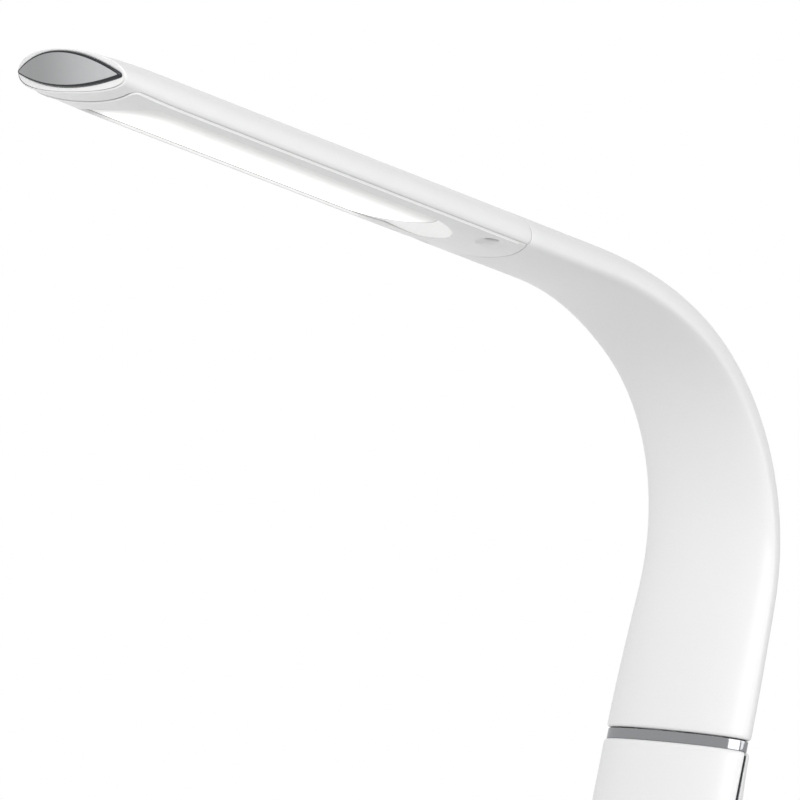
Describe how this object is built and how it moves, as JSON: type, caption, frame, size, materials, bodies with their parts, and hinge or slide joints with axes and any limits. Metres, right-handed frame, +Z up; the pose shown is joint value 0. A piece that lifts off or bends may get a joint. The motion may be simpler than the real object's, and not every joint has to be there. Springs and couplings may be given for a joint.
{
  "type": "folding LED desk lamp",
  "caption": "White folding LED desk lamp: long slim light head with a mirror tip on a broad curved arm that swivels on a chrome collar, folding stem, oval base with press buttons.",
  "frame": {"origin": "centre of the rubber pad's underside, on the desk", "axes": "+Z up; the light head points to -Y; +X is the lamp's left side as it faces the user"},
  "size_m": [0.1308, 0.3005, 0.3984],
  "materials": {
    "casing": "smooth white gloss",
    "opal_lens": "opal white, lit from behind",
    "dark_chrome": "polished dark chrome",
    "mirror_plate": "brushed mirror",
    "chrome": "polished chrome",
    "steel": "zinc plated",
    "aluminium": "plain cast or drawn aluminium",
    "ballast": "black oxide",
    "brass": "plain brass",
    "rubber": "matte black rubber",
    "lead_jacket": "soft black cable jacket",
    "bearing_plastic": "natural acetal",
    "grey_plastic": "light grey, fine texture",
    "black_plastic": "matte black",
    "white_board": "white solder mask",
    "green_board": "green solder mask",
    "led_phosphor": "yellow phosphor",
    "inlet_metal": "nickel plated shell",
    "surround": "satin anodised",
    "light_pipe": "clear",
    "button": "smooth white gloss"
  },
  "bodies": {
    "base": {"hinge_bracket": "steel", "hinge_axle": "steel", "hinge_friction_washers": "brass", "hinge_flat_washer": "steel", "hinge_disc_springs": "steel", "hinge_nut": "steel", "hinge_end_caps": "chrome", "base_top_cover": "casing", "base_trim_ring": "chrome", "base_bottom_cover": "grey_plastic", "ballast_plate": "ballast", "base_pad": "rubber", "base_screws": "steel", "bracket_screws": "steel", "board_spacers": "brass", "control_board": "green_board", "tact_switches": "black_plastic", "driver_components": "black_plastic", "power_inlet": "inlet_metal", "button_surround": "surround", "indicator_light_pipe": "light_pipe", "base_lead": "lead_jacket"},
    "stem": {"collar_ring": "chrome", "swivel_bush": "bearing_plastic", "swivel_washer": "steel", "stem_frame": "aluminium", "stem_front_cover": "casing", "stem_rear_cover": "casing", "stem_side_trims": "dark_chrome", "stem_screws": "steel", "stem_lead": "lead_jacket", "hinge_bushes": "bearing_plastic"},
    "arm": {"head_upper_shell": "casing", "head_lower_cover": "casing", "diffuser_lens": "opal_lens", "led_board": "white_board", "led_chips": "led_phosphor", "heat_spreader": "aluminium", "spreader_screws": "steel", "cover_screws": "steel", "tip_bezel": "dark_chrome", "tip_plate": "mirror_plate", "arm_front_shell": "casing", "arm_back_cover": "casing", "arm_spine": "steel", "arm_screws": "steel", "head_joint_screws": "steel", "arm_lead": "lead_jacket", "lead_clips": "bearing_plastic", "swivel_shaft": "steel", "shaft_set_screws": "steel", "swivel_stop_washer": "steel", "swivel_spring_washer": "steel", "swivel_nut": "steel"},
    "power_button": {"power_button": "button"},
    "brighter_button": {"brighter_button": "button"},
    "dimmer_button": {"dimmer_button": "button"}
  },
  "joints": [
    {"name": "stem_fold", "type": "hinge", "parent": "base", "child": "stem", "pos_m": [0, 0.05, 0.0315], "axis": [1, 0, 0], "range_deg": [-8, 104]},
    {"name": "arm_swivel", "type": "hinge", "parent": "stem", "child": "arm", "pos_m": [0, 0.08759, 0.17264], "axis": [0, 0.2857, 0.9583], "range_deg": [-90, 90]},
    {"name": "power_press", "type": "slide", "parent": "base", "child": "power_button", "axis": [0, 0, -1], "range_m": [0, 0.0006], "stiffness_N_per_m": 400, "springref_m": -0.0015},
    {"name": "brighter_press", "type": "slide", "parent": "base", "child": "brighter_button", "axis": [0, 0, -1], "range_m": [0, 0.0006], "stiffness_N_per_m": 400, "springref_m": -0.0015},
    {"name": "dimmer_press", "type": "slide", "parent": "base", "child": "dimmer_button", "axis": [0, 0, -1], "range_m": [0, 0.0006], "stiffness_N_per_m": 400, "springref_m": -0.0015}
  ]
}
